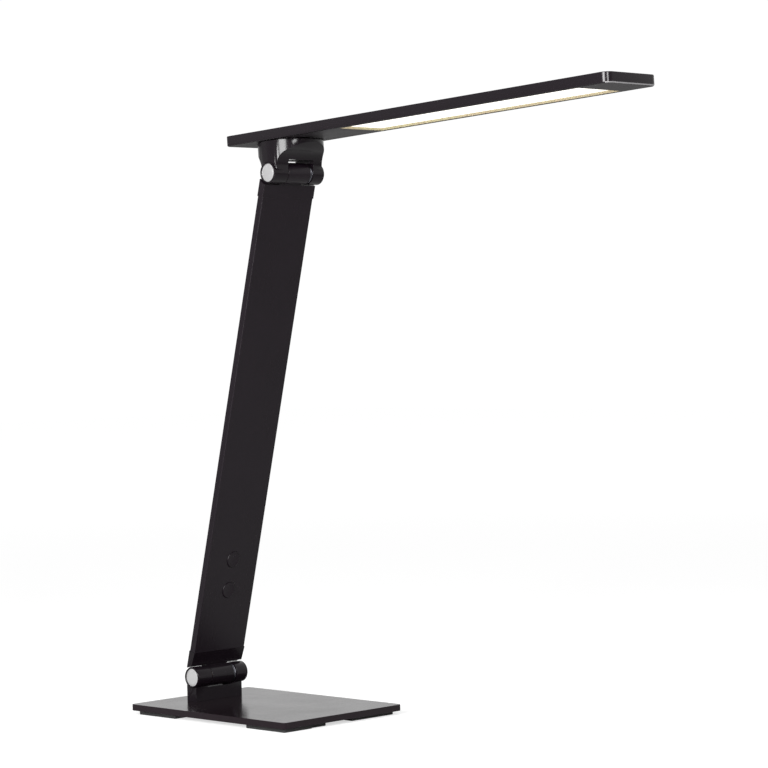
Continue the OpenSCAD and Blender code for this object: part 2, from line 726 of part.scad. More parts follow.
module diffuser() color([0.97, 0.96, 0.92]) in_head()
  light_plate(diffuser_l, diffuser_w, cover_top, cover_top + diffuser_t);

module light_guide() color([0.9, 0.95, 0.95]) in_head()
  block([light_mid - diffuser_l / 2, guide_y, guide_z], [light_mid + diffuser_l / 2, guide_y + guide_w,
    guide_z + guide_t]);

module reflector() color([0.95, 0.95, 0.95]) in_head()
  block([light_mid - diffuser_l / 2, guide_y, reflector_z],
    [light_mid + diffuser_l / 2, guide_y + guide_w, reflector_z + reflector_t]);

module led_board() color([0.9, 0.9, 0.9]) in_head()
  block([light_mid - diffuser_l / 2, strip_y, guide_z],
    [light_mid + diffuser_l / 2, strip_y + strip_t, guide_z + strip_h]);

module leds() color([0.95, 0.85, 0.4]) in_head()
  for (i = [0 : led_n - 1]) translate([light_start + (i + 0.5) * light_l / led_n, 0, 0])
    block([-led_l / 2, strip_y + strip_t, guide_z + led_margin],
      [led_l / 2, strip_y + strip_t + led_t, guide_z + strip_h - led_margin]);

base_plate();
foot_front_left();
foot_front_right();
foot_back_left();
foot_back_right();
base_screws();
pedestal();
power_inlet();
lower_pin();
lower_nut();
lower_friction_washer();
lower_spring_washers();
lower_bright_cap();
lower_dark_cap();
arm_lower_block();
arm_tube();
arm_upper_block();
lower_block_screws();
upper_block_screws();
switch_board();
switch_foam();
switches();
arm_cable();
button_lower();
button_upper();
neck();
upper_pin();
upper_nut();
upper_friction_washer();
upper_spring_washers();
upper_bright_cap();
upper_dark_cap();
friction_disc();
swivel_bolt();
swivel_washer();
head_housing();
head_cover();
mounting_block();
head_screws();
driver_board();
diffuser();
light_guide();
reflector();
led_board();
leds();
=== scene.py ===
"""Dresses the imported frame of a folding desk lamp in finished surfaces.

Lengths are in metres, in the frame of the CAD model: +X is the way the head points,
+Y runs along the hinge axes, +Z is up, and the origin is the middle of the base on
the plane that the feet stand on. Each sub-assembly is a class that builds its own
surfaces with numpy and gives every piece and every carried CAD node its finish.
"""

import json
import logging
import math
from dataclasses import dataclass
from enum import Enum

import bmesh
import bpy
import numpy as np
from mathutils import Matrix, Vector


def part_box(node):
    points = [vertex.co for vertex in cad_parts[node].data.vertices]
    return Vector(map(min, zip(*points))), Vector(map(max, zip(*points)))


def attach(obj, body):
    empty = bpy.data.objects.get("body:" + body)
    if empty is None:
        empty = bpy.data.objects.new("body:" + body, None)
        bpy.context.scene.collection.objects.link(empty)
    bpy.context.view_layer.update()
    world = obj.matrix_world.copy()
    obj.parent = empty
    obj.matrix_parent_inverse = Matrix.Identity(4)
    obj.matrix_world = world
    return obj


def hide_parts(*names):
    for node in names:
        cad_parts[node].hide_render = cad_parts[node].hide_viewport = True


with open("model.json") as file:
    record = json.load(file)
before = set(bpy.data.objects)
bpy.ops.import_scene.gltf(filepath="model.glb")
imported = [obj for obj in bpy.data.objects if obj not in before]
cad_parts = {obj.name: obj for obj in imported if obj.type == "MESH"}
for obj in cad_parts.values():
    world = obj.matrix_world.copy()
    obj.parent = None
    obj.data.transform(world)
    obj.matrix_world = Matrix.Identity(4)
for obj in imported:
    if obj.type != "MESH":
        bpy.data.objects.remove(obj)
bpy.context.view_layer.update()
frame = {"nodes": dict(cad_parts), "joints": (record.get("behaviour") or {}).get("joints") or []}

LOG = logging.getLogger("lamp")

MM = 0.001
WELD = 1e-7
CAD_WELD = 10 * WELD
LEAST_RADIUS = 10 * WELD
FACE_INSET = 3
SHARP_ANGLE = math.radians(38)
FLAT_ANGLE = math.radians(0.2)
BEVEL_STEPS = 2
TURN = np.linspace(0, 2 * np.pi, 96, endpoint=False)
ARC_STEPS = 5
NOISE_RANGE = (0.3, 0.7)
NOISE_ROUGHNESS = 0.55
FINE_DETAIL = 2.0
EVEN = (1, 1, 1)
WHITE = (1, 1, 1, 1)

Pair = tuple[float, float]
Triple = tuple[float, float, float]
Socket = bpy.types.NodeSocket
SocketPair = tuple[Socket, Socket]


class Body(Enum):
    """The CAD bodies that pieces ride on."""

    BASE = "base"
    ARM = "arm"
    BUTTON_LOW = "button_low"
    BUTTON_HIGH = "button_high"
    NECK = "neck"
    HEAD = "head"


class Axis(Enum):
    """The axis that a turned shape goes round, as the order of its coordinates."""

    X = (2, 0, 1)
    Y = (1, 2, 0)
    Z = (0, 1, 2)


class Side(Enum):
    """The two ends of a hinge along Y."""

    NEAR = -1
    FAR = 1


@dataclass(frozen=True)
class Pose:
    """Place of a sub-assembly: its origin and its turn about +Y, in radians."""

    origin: Triple
    turn: float = 0.0

    def place(self, points: np.ndarray) -> np.ndarray:
        """Turns points about +Y, then moves them to the origin.

        Args:
            points: Points of the sub-assembly's own frame, with x, y, z last.

        Returns:
            The points in the model's frame.
        """
        cos, sin = math.cos(self.turn), math.sin(self.turn)
        turn = np.array([[cos, 0, sin], [0, 1, 0], [-sin, 0, cos]])
        return points @ turn.T + np.array(self.origin)


def find_poses() -> tuple[Pose, ...]:
    """Works out the frames of the sub-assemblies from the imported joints.

    Returns:
        The poses of the plate, the lower hinge, the arm and the head.
    """
    joints = {joint["name"]: joint for joint in frame["joints"]}
    lower, upper = (tuple(joints[name]["pos_m"]) for name in ("arm_tilt", "head_tilt"))
    swivel = joints["head_swivel"]["axis"]
    lean = math.atan2(upper[0] - lower[0], upper[2] - lower[2])
    tilt = math.atan2(swivel[0], swivel[2])
    return Pose((0.0, 0.0, 0.0)), Pose(lower), Pose(lower, lean), Pose(upper, tilt)


PLATE_POSE, HINGE_POSE, ARM_POSE, HEAD_POSE = find_poses()


# Surfaces


@dataclass(frozen=True)
class Shell:
    """Points and four-sided faces of one or more closed surfaces."""

    points: np.ndarray
    faces: np.ndarray

    def __add__(self, other: "Shell") -> "Shell":
        """Puts two shells into one."""
        return Shell(
            np.vstack([self.points, other.points]),
            np.vstack([self.faces, other.faces + len(self.points)]),
        )

    def outward(self) -> "Shell":
        """Turns the faces outwards.

        The signed volume is a sixth of the sum of a . (b x c) over the triangles
        of the faces; where it is below zero, the order of each face is reversed.

        Returns:
            The shell with its faces pointing outwards.
        """
        a, b, c, d = (self.points[self.faces[:, i]] for i in range(4))
        volume = (a * np.cross(b, c)).sum() + (a * np.cross(c, d)).sum()
        return self if volume > 0 else Shell(self.points, self.faces[:, ::-1])

    def moved(self, offset: Triple) -> "Shell":
        """Returns the shell moved by an offset."""
        return Shell(self.points + np.array(offset), self.faces)

    def placed(self, pose: Pose) -> "Shell":
        """Returns the shell in the model's frame."""
        return Shell(pose.place(self.points), self.faces)


def joined(shells: list[Shell]) -> Shell:
    """Puts shells into one, in their order."""
    return sum(shells[1:], shells[0])


def skin(rings: np.ndarray, ring_shaped: bool = False) -> Shell:
    """Joins a grid of points with four-sided faces.

    Args:
        rings: Points as rows of closed rings, with x, y, z last.
        ring_shaped: True where the last row joins the first one again.

    Returns:
        The closed shell, its faces pointing outwards.
    """
    rows, columns = rings.shape[:2]
    index = np.arange(rows * columns).reshape(rows, columns)
    if ring_shaped:
        index = np.vstack([index, index[:1]])
    ahead = np.roll(index, -1, axis=1)
    faces = np.stack([index[:-1], ahead[:-1], ahead[1:], index[1:]], axis=-1)
    return Shell(rings.reshape(-1, 3), faces.reshape(-1, 4)).outward()


def unit(vectors: np.ndarray) -> np.ndarray:
    """Returns the vectors at length one."""
    return vectors / np.linalg.norm(vectors, axis=-1, keepdims=True)


def rounded_loop(
    corners: list, radii: float | list, steps: int = ARC_STEPS
) -> tuple[np.ndarray, np.ndarray]:
    """Rounds the corners of a closed flat outline with arcs.

    An arc's centre lies on its corner's bisector, at the radius over the sine of
    half the corner's angle. The arc goes from one tangent point to the other as
    the sine-weighted mean of the two radius vectors.

    Args:
        corners: The outline's corners, anticlockwise.
        radii: One radius, or one for each corner.
        steps: Number of steps of an arc.

    Returns:
        The outline's points and their outward normals.
    """
    corner = np.asarray(corners, float)
    radius = np.maximum(np.broadcast_to(np.asarray(radii, float), len(corner)), LEAST_RADIUS)
    back = unit(np.roll(corner, 1, axis=0) - corner)
    ahead = unit(np.roll(corner, -1, axis=0) - corner)
    half = np.arccos(np.clip((back * ahead).sum(axis=1), -1, 1)) / 2
    centre = corner + unit(back + ahead) * (radius / np.sin(half))[:, None]
    reach = (radius / np.tan(half))[:, None]
    start = (corner + back * reach - centre)[:, None]
    stop = (corner + ahead * reach - centre)[:, None]
    sweep = (np.pi - 2 * half)[:, None, None]
    t = np.linspace(0, 1, steps + 1)[None, :, None]
    arcs = (np.sin((1 - t) * sweep) * start + np.sin(t * sweep) * stop) / np.sin(sweep)
    side = np.sign(ahead[:, 1] * -back[:, 0] + ahead[:, 0] * back[:, 1])
    normals = side[:, None, None] * arcs / radius[:, None, None]
    return (centre[:, None] + arcs).reshape(-1, 2), normals.reshape(-1, 2)


def rounded_line(corners: list, radii: float | list) -> np.ndarray:
    """Rounds the inner corners of an open flat path with arcs.

    Args:
        corners: The path's corners; the first and the last stay as they are.
        radii: One radius, or one for each inner corner.

    Returns:
        The path's points.
    """
    corner = np.asarray(corners, float)
    radius = np.broadcast_to(np.asarray(radii, float), len(corner) - 2)
    full = np.concatenate([[WELD], radius, [WELD]])
    points, _ = rounded_loop(corner, full)
    inner = points.reshape(len(corner), ARC_STEPS + 1, 2)[1:-1].reshape(-1, 2)
    return np.vstack([corner[:1], inner, corner[-1:]])


def rectangle(length: float, width: float, middle: Pair = (0, 0)) -> list:
    """Returns the corners of a rectangle, anticlockwise."""
    x, y, a, b = *middle, length / 2, width / 2
    return [(x - a, y - b), (x + a, y - b), (x + a, y + b), (x - a, y + b)]


def slab(
    corners: list, radii: float | list, profile: np.ndarray, ring_shaped: bool = False
) -> Shell:
    """Carries a profile round a flat outline.

    A point of the surface is the outline's point less its outward normal times the
    profile's inset, at the profile's height. An open profile's first and last row go
    on to the outline's middle, which closes the two flat faces.

    Args:
        corners: The outline's corners, anticlockwise.
        radii: Radii of the corners.
        profile: Rows of inset and height.
        ring_shaped: True where the profile closes on itself, as in a frame.

    Returns:
        The closed shell, with the outline in its X and Y.
    """
    outline, normals = rounded_loop(corners, radii)
    flat = outline[None] - normals[None] * profile[:, 0][:, None, None]
    height = profile[:, 1]
    if not ring_shaped:
        middle = np.broadcast_to(outline.mean(axis=0), flat[:1].shape)
        flat = np.concatenate([middle, flat, middle])
        height = np.concatenate([height[:1], height, height[-1:]])
    rings = np.dstack([flat, np.broadcast_to(height[:, None], flat.shape[:2])])
    return skin(rings, ring_shaped)


def slab_profile(low: float, high: float, edge: float) -> np.ndarray:
    """Profile of a plate whose two edges are rounded.

    Args:
        low: Height of the lower face.
        high: Height of the upper face.
        edge: Radius of the edges.

    Returns:
        Rows of inset and height, from the lower face to the upper one.
    """
    inner = FACE_INSET * edge
    return rounded_line([(inner, low), (0, low), (0, high), (inner, high)], edge)


def revolve(profile: np.ndarray | list, axis: Axis, ring_shaped: bool = False) -> Shell:
    """Turns a profile round an axis.

    A point of the surface is (r cos t, r sin t, a), for the profile's radius r and
    place a along the axis, and the angle t, with its coordinates put in the axis's
    order.

    Args:
        profile: Rows of radius and place along the axis. A radius may be an array
            that gives one for each angle of TURN.
        axis: The axis to go round.
        ring_shaped: True where the profile closes on itself, as in a washer.

    Returns:
        The closed shell.
    """
    radius, along = (np.array([row[i] + 0 * TURN for row in profile]) for i in range(2))
    rings = np.dstack([radius * np.cos(TURN), radius * np.sin(TURN), along])
    return skin(rings[:, :, list(axis.value)], ring_shaped)


@dataclass(frozen=True)
class SocketScrew:
    """Countersunk screw with a six-sided socket, its head's face at the origin."""

    shank: float
    head: float
    length: float
    flat: float
    depth: float
    bevel: float = 0.0001

    def shell(self, axis: Axis) -> Shell:
        """Builds the screw as rings whose radius changes with the angle.

        The socket's radius is its half width over the cosine of the angle from the
        middle of the nearest flat. The rings go from the socket's floor to its
        mouth, over the head's face and rim, down the cone and along the shank.

        Args:
            axis: The axis along which the shank points.

        Returns:
            The closed shell.
        """
        sixth = np.pi / 3
        socket = self.flat / np.cos((TURN + sixth / 2) % sixth - sixth / 2)
        rows = [
            (0, self.depth),
            (socket, self.depth),
            (socket, self.bevel),
            (socket + self.bevel, 0),
            (self.head - self.bevel, 0),
            (self.head, self.bevel),
            (self.shank, self.head - self.shank),
            (self.shank, self.length),
            (0, self.length),
        ]
        return revolve(rows, axis)

    def at_places(self, axis: Axis, places: list) -> Shell:
        """Builds the screw at each of the places, as one shell."""
        return joined([self.shell(axis).moved(place) for place in places])


# Finishes


class Tree:
    """Node tree of one material, with short ways to add and to join nodes."""

    def __init__(self, name: str) -> None:
        """Starts a material with one principled shader.

        Args:
            name: The material's name.
        """
        self.material = bpy.data.materials.new(name)
        self.material.use_nodes = True
        self.nodes = self.material.node_tree.nodes
        self.links = self.material.node_tree.links
        self.nodes.clear()
        self.shader = self.add("BsdfPrincipled")
        self.add("OutputMaterial", {"Surface": self.shader.outputs[0]})

    @classmethod
    def of_world(cls, world: bpy.types.World) -> "Tree":
        """Opens the node tree of a world.

        Args:
            world: The world, with its own background node.

        Returns:
            The tree, to which nodes can be added.
        """
        tree = cls.__new__(cls)
        tree.nodes = world.node_tree.nodes
        tree.links = world.node_tree.links
        return tree

    def add(self, kind: str, inputs: dict | None = None, **settings: object) -> bpy.types.Node:
        """Adds a node.

        Args:
            kind: The node's type, without its usual prefix.
            inputs: Values or sockets for its inputs.
            **settings: The node's own properties.

        Returns:
            The node.
        """
        node = self.nodes.new("ShaderNode" + kind)
        for key, value in settings.items():
            setattr(node, key, value)
        for key, value in (inputs or {}).items():
            if isinstance(value, Socket):
                self.links.new(value, node.inputs[key])
            else:
                node.inputs[key].default_value = value
        return node

    def coordinates(self, pose: Pose, scale: Triple = EVEN) -> Socket:
        """Object coordinates in a sub-assembly's frame, drawn out by a scale.

        Args:
            pose: The sub-assembly's frame.
            scale: Factors along its three axes.

        Returns:
            The socket of the coordinates.
        """
        inputs = {
            "Vector": self.add("TexCoord").outputs["Object"],
            "Location": pose.origin,
            "Rotation": (0, pose.turn, 0),
            "Scale": tuple(1 / factor for factor in scale),
        }
        return self.add("Mapping", inputs, vector_type="TEXTURE").outputs[0]

    def fix(self, values: dict) -> None:
        """Sets constant values on the shader's own sockets."""
        for name, value in values.items():
            self.shader.inputs[name].default_value = value

    def join(self, source: Socket, name: str) -> None:
        """Joins a socket to one of the shader's inputs."""
        self.links.new(source, self.shader.inputs[name])

    def joined_to(self, name: str) -> Socket:
        """Returns the socket that is joined to one of the shader's inputs."""
        return self.shader.inputs[name].links[0].from_socket

    def noise(self, vector: Socket, scale: float, detail: float = 3.0) -> Socket:
        """Adds a noise texture.

        Args:
            vector: The coordinates.
            scale: Spots in a metre.
            detail: Number of finer noises added.

        Returns:
            The socket of its value.
        """
        inputs = {"Vector": vector, "Scale": scale, "Detail": detail, "Roughness": NOISE_ROUGHNESS}
        return self.add("TexNoise", inputs).outputs[0]

    def light_path(self) -> SocketPair:
        """Tells which rays meet the surface.

        Returns:
            Sockets that are 1 for what the camera sees and 1 for glossy rays.
        """
        path = self.add("LightPath").outputs
        seen = self.math("MAXIMUM", path["Is Camera Ray"], path["Is Transmission Ray"])
        return seen, path["Is Glossy Ray"]

    def math(self, operation: str, a: object, b: object = 0.0) -> Socket:
        """Adds a calculation of one or two values and returns its socket."""
        return self.add("Math", {0: a, 1: b}, operation=operation).outputs[0]

    def remap(self, value: Socket, start: tuple, stop: tuple) -> Socket:
        """Maps one range of a value to another and returns the socket."""
        inputs = {"Value": value, 1: start[0], 2: start[1], 3: stop[0], 4: stop[1]}
        return self.add("MapRange", inputs).outputs[0]

    def blend(self, value: Socket, first: tuple, second: tuple) -> Socket:
        """Mixes two colours over the range in which a noise lies.

        Args:
            value: The noise.
            first: Colour at the range's low end.
            second: Colour at its high end.

        Returns:
            The socket of the colour.
        """
        ramp = self.add("ValToRGB", {"Fac": value})
        for stop, place, colour in zip(ramp.color_ramp.elements, NOISE_RANGE, (first, second)):
            stop.position = place
            stop.color = (*colour, 1)
        return ramp.outputs[0]


@dataclass(frozen=True)
class Finish:
    """Painted, moulded or metal surface with clouded colour and a fine grain."""

    name: str
    colour: Triple
    roughness: float
    metallic: float = 0.0
    ior: float = 1.45
    shade: float = 0.15
    gloss_shift: float = 0.04
    tint: Triple | None = None
    cloud: float = 60.0
    grain: float = 1800.0
    stretch: Triple = (1.0, 1.0, 1.0)
    relief: float = 0.000012
    pose: Pose = PLATE_POSE

    def build(self) -> bpy.types.Material:
        """Builds the material.

        Returns:
            The finished material.
        """
        tree = Tree(self.name)
        mask, height = self.pattern(tree)
        low = tuple(channel * (1 - self.shade) for channel in self.colour)
        light = self.tint or self.colour
        high = tuple(min(1.0, channel * (1 + self.shade)) for channel in light)
        tree.join(tree.blend(mask, low, high), "Base Color")
        self.dress(tree)
        gloss = (self.roughness - self.gloss_shift, self.roughness + self.gloss_shift)
        tree.join(tree.remap(mask, NOISE_RANGE, gloss), "Roughness")
        bump = tree.add("Bump", {"Distance": self.relief, "Height": height})
        tree.join(bump.outputs[0], "Normal")
        return tree.material

    def dress(self, tree: Tree) -> None:
        """Sets how metallic the surface is and how strongly it mirrors."""
        tree.fix({"Metallic": self.metallic, "IOR": self.ior})

    def pattern(self, tree: Tree) -> SocketPair:
        """Cloudy mask and grainy height.

        Args:
            tree: The tree to add to.

        Returns:
            Sockets of the mask and of the height.
        """
        plain = tree.coordinates(self.pose)
        drawn = tree.coordinates(self.pose, self.stretch)
        fine = tree.noise(drawn, self.grain, FINE_DETAIL)
        mask = tree.math("MULTIPLY", tree.math("ADD", tree.noise(plain, self.cloud), fine), 0.5)
        return mask, fine


@dataclass(frozen=True)
class Metal(Finish):
    """Bare or plated metal."""

    metallic: float = 1.0
    shade: float = 0.1
    grain: float = 2500.0


@dataclass(frozen=True)
class TurnedFinish(Metal):
    """Metal face with fine rings left by a lathe, round the Y axis of its pose."""

    colour: Triple = (0.98, 0.97, 0.98)
    roughness: float = 0.32
    grain: float = 3200.0
    relief: float = 0.000016
    rings: float = 2600.0
    broken: float = 0.4
    level: float = 0.72

    def pattern(self, tree: Tree) -> SocketPair:
        """Noise of the distance from the hinge's axis, broken by a fine noise.

        Args:
            tree: The tree to add to.

        Returns:
            Sockets of the mask and of the height.
        """
        place = tree.coordinates(self.pose)
        flat = tree.add("VectorMath", {0: place, 1: (1, 0, 1)}, operation="MULTIPLY")
        radius = tree.add("VectorMath", {0: flat.outputs[0]}, operation="LENGTH")
        ring = tree.add(
            "TexNoise",
            {"W": radius.outputs["Value"], "Scale": self.rings, "Detail": FINE_DETAIL},
            noise_dimensions="1D",
        )
        fine = tree.noise(place, self.grain, FINE_DETAIL)
        both = tree.math("ADD", ring.outputs[0], tree.math("MULTIPLY", fine, self.broken))
        return tree.math("MULTIPLY", both, self.level), ring.outputs[0]


class Texture(Enum):
    """Textures that give a height: the node's type, its output and its settings."""

    CELLS = ("TexVoronoi", "Distance", {})
    RIBS = ("TexWave", "Fac", {"wave_type": "BANDS", "bands_direction": "Y"})


@dataclass(frozen=True)
class TexturedFinish(Finish):
    """Surface of small round cells, as on foam or rubber, or of ribs side by side."""

    texture: Texture = Texture.CELLS

    def pattern(self, tree: Tree) -> SocketPair:
        """Cloudy mask, and the height of the cells or ribs.

        Args:
            tree: The tree to add to.

        Returns:
            Sockets of the mask and of the height.
        """
        place = tree.coordinates(self.pose, self.stretch)
        kind, output, settings = self.texture.value
        relief = tree.add(kind, {"Vector": place, "Scale": self.grain}, **settings)
        return tree.noise(place, self.cloud), relief.outputs[output]


@dataclass(frozen=True)
class BoardFinish(Finish):
    """Circuit board: fields of solder mask between raised tracks."""

    gap: float = 0.06
    pads: float = 0.3

    def pattern(self, tree: Tree) -> SocketPair:
        """Bricks whose mortar lines stand out as tracks.

        Args:
            tree: The tree to add to.

        Returns:
            Sockets of the mask and of the height.
        """
        place = tree.coordinates(self.pose, self.stretch)
        bricks = tree.add(
            "TexBrick",
            {
                "Vector": place,
                "Scale": self.grain,
                "Mortar Size": self.gap,
                "Color1": (0, 0, 0, 1),
                "Color2": (*(self.pads,) * 3, 1),
                "Mortar": WHITE,
            },
        )
        grey = tree.add("RGBToBW", {"Color": bricks.outputs["Color"]}).outputs[0]
        return grey, grey


@dataclass(frozen=True)
class PaintedHighlightEdgeFinish(Finish):
    """Coated metal with bright bare metal along its lower front edge: a painted highlight of the
    rounded lip catching the pale floor.
    """

    # Colour of the painted highlight along the lower front edge.
    bright: Triple = (0.62, 0.61, 0.62)
    front: float = 0.0
    top: float = 0.0
    fade: float = 0.0001

    def dress(self, tree: Tree) -> None:
        """Mixes in the bare metal, as a painted highlight, in front of and below two planes of the
        pose.

        Args:
            tree: The tree to add to.
        """
        super().dress(tree)
        x, _, z = tree.add("SeparateXYZ", {0: tree.coordinates(self.pose)}).outputs
        ahead = tree.remap(x, (self.front, self.front + self.fade), (0.0, 1.0))
        below = tree.remap(z, (self.top, self.top + self.fade), (1.0, 0.0))
        # Mask of the painted highlight band: ahead of the front plane and below the top plane.
        edge = tree.math("MULTIPLY", ahead, below)
        tree.join(edge, "Metallic")
        inputs = {"Factor": edge, 6: tree.joined_to("Base Color"), 7: (*self.bright, 1)}
        tree.join(tree.add("Mix", inputs, data_type="RGBA").outputs[2], "Base Color")


@dataclass(frozen=True)
class GlowFinish(Finish):
    """Surface that gives off light."""

    glow: Triple = (1.0, 0.97, 0.9)
    strength: float = 1.0

    def dress(self, tree: Tree) -> None:
        """Sets the light that the surface gives off."""
        super().dress(tree)
        tree.fix({"Emission Color": (*self.glow, 1), "Emission Strength": self.strength})


@dataclass(frozen=True)
class ClearFinish(Finish):
    """Clear plastic sheet."""

    transmission: float = 0.9

    def dress(self, tree: Tree) -> None:
        """Lets light through the surface."""
        super().dress(tree)
        tree.fix({"Transmission Weight": self.transmission})


class Finishes(Enum):
    """Every finish of the lamp."""

    PLATE = Finish(
        "satin_plate", (0.0065, 0.0030, 0.0050), 0.20, ior=1.34, cloud=25, grain=900,
        relief=0.000010,
    )
    CASTING = Finish(
        "black_enamel", (0.0046, 0.0028, 0.0044), 0.15, ior=1.33, grain=1400, relief=0.000014
    )
    ARM = Finish(
        "black_arm", (0.0058, 0.0034, 0.0056), 0.30, ior=1.33, cloud=20,
        grain=2200, stretch=(1, 1, 0.02), relief=0.000006, pose=ARM_POSE,
    )
    # Black head finish with a painted highlight of bare bright metal on the lower front edge,
    # ahead of front and below top.
    HEAD = PaintedHighlightEdgeFinish(
        "black_head_painted_highlight", (0.0054, 0.0034, 0.0052), 0.18, ior=1.37, cloud=20,
        grain=2200, stretch=(0.02, 1, 1), relief=0.000005, pose=HEAD_POSE,
        front=345.5 * MM, top=26.45 * MM,
    )
    UNDERSIDE = Finish(
        "black_underside", (0.0065, 0.0034, 0.0060), 0.42, ior=1.36, cloud=20,
        grain=2600, relief=0.000008, pose=HEAD_POSE,
    )
    LOWER_BRIGHT = TurnedFinish("turned_lower", pose=HINGE_POSE)
    UPPER_BRIGHT = TurnedFinish("turned_upper", pose=HEAD_POSE)
    STEEL = Metal("zinc_steel", (0.58, 0.58, 0.60), 0.32)
    SPRING = Metal("blued_spring", (0.16, 0.16, 0.18), 0.35, shade=0.2)
    SCREW = Metal(
        "black_oxide", (0.035, 0.034, 0.034), 0.38, metallic=0.6, grain=3000, shade=0.2
    )
    BRONZE = Metal("bronze", (0.66, 0.46, 0.20), 0.35, shade=0.12)
    RUBBER = TexturedFinish(
        "foot_rubber", (0.020, 0.020, 0.020), 0.82, ior=1.4, grain=900, relief=0.00005
    )
    PLASTIC = Finish(
        "moulded_black", (0.018, 0.018, 0.019), 0.45, ior=1.45, grain=2600, relief=0.000018
    )
    BUTTON = Finish(
        "button_black", (0.0058, 0.0034, 0.0056), 0.28, ior=1.31, grain=2600, relief=0.000004,
        pose=ARM_POSE,
    )
    DISC = Finish("grey_disc", (0.22, 0.21, 0.20), 0.4, grain=1500, shade=0.05)
    BOARD = BoardFinish(
        "solder_mask", (0.03, 0.20, 0.08), 0.35, grain=320, shade=0.5, relief=0.00003,
        pose=ARM_POSE,
    )
    TINNED = Metal("tinned", (0.68, 0.68, 0.66), 0.3, grain=2000)
    CABLE = TexturedFinish(
        "flat_cable", (0.72, 0.72, 0.70), 0.5, grain=250, shade=0.06, relief=0.0002,
        pose=ARM_POSE, texture=Texture.RIBS,
    )
    FOAM = TexturedFinish("black_foam", (0.05, 0.05, 0.055), 0.9, grain=1600, relief=0.0001)
    OPAL = GlowFinish(
        "opal_glow", (0.90, 0.89, 0.85), 0.5, grain=1500, shade=0.02, relief=0.000004,
        glow=(1.0, 0.96, 0.88), strength=1.3,
    )
    # Pale tan colour that goes olive along the noise: a painted reflection of the diffuser's light
    # in the opening's black walls.
    PAINTED_REFLECTION = Finish(
        "diffuser_reflection_paint", (0.42, 0.32, 0.235), 0.45, shade=0.08, tint=(0.36, 0.35, 0.20),
        cloud=24, grain=900, relief=0.00001, pose=HEAD_POSE,
    )
    CLEAR = ClearFinish("clear_guide", (0.93, 0.96, 0.96), 0.08, ior=1.49, grain=700, shade=0.02)
    SHEET = Finish("white_sheet", (0.85, 0.85, 0.84), 0.5, grain=1500, shade=0.04)
    PHOSPHOR = GlowFinish(
        "phosphor", (0.9, 0.75, 0.2), 0.5, grain=2500, shade=0.1, glow=(1.0, 0.88, 0.6),
        strength=2.0,
    )


class Paintbox:
    """Builds each finish once and hands out its material."""

    def __init__(self) -> None:
        """Starts empty."""
        self.made: dict[Finishes, bpy.types.Material] = {}

    def get(self, finish: Finishes) -> bpy.types.Material:
        """Returns the material of a finish."""
        if finish not in self.made:
            self.made[finish] = finish.value.build()
        return self.made[finish]

    def dress_nodes(self, finish: Finishes, *nodes: str) -> None:
        """Gives carried CAD nodes a finish.

        Args:
            finish: The finish.
            *nodes: Names of the nodes.
        """
        for name in nodes:
            frame["nodes"][name].material_slots[0].material = self.get(finish)
            LOG.info("node %s: %s", name, finish.value.name)


# Sub-assemblies


@dataclass
class Assembly:
    """Sub-assembly: its materials, the body that it rides on and its own frame."""

    paints: Paintbox
    body: Body
    pose: Pose

    def declare(
        self, mesh: bpy.types.Mesh, name: str, finish: Finishes, nodes: tuple[str, ...]
    ) -> bpy.types.Object:
        """Args:
            mesh: The mesh, in the model's frame.
            name: The piece's name.
            finish: The piece's finish.
            nodes: The CAD nodes that the piece stands for.

        Returns:
            The object.
        """
        mesh.shade_smooth()
        mesh.set_sharp_from_angle(angle=SHARP_ANGLE)
        mesh.materials.clear()
        mesh.materials.append(self.paints.get(finish))
        piece = bpy.data.objects.new(name, mesh)
        bpy.context.scene.collection.objects.link(piece)
        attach(piece, self.body.value)
        if nodes:
            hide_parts(*nodes)
        LOG.info("piece %s: %d faces, rides on %s", name, len(mesh.polygons), self.body.value)
        return piece

    def add(self, shell: Shell, name: str, slot: str, finish: Finishes, *nodes: str) -> None:
        """Makes a piece of a shell, welded.

        Args:
            shell: The surface, in the sub-assembly's frame.
            name: The piece's name.
            slot: The record's material slot; not used.
            finish: The piece's finish.
            *nodes: The CAD nodes that the piece stands for.
        """
        shell = shell.placed(self.pose)
        mesh = bpy.data.meshes.new(name)
        mesh.from_pydata(shell.points.tolist(), [], shell.faces.tolist())
        work = bmesh.new()
        work.from_mesh(mesh)
        bmesh.ops.remove_doubles(work, verts=work.verts, dist=WELD)
        bmesh.ops.dissolve_degenerate(work, edges=work.edges, dist=WELD)
        work.to_mesh(mesh)
        work.free()
        self.declare(mesh, name, finish, nodes)

    def soften(self, name: str, slot: str, finish: Finishes, node: str, edge: float) -> None:
        """Makes a piece of a CAD node whose sharp edges are rounded by a bevel.

        Args:
            name: The piece's name.
            slot: The record's material slot; not used.
            finish: The piece's finish.
            node: The CAD node.
            edge: Width of the bevel.
        """
        mesh = frame["nodes"][node].data.copy()
        mesh.name = name
        work = bmesh.new()
        work.from_mesh(mesh)
        bmesh.ops.remove_doubles(work, verts=work.verts, dist=CAD_WELD)
        bmesh.ops.dissolve_limit(work, angle_limit=FLAT_ANGLE, verts=work.verts, edges=work.edges)
        work.to_mesh(mesh)
        work.free()
        bevel = self.declare(mesh, name, finish, (node,)).modifiers.new("edges", "BEVEL")
        bevel.width = edge
        bevel.segments = BEVEL_STEPS
        bevel.limit_method = "ANGLE"
        bevel.angle_limit = SHARP_ANGLE
        bevel.use_clamp_overlap = True
        bevel.harden_normals = True


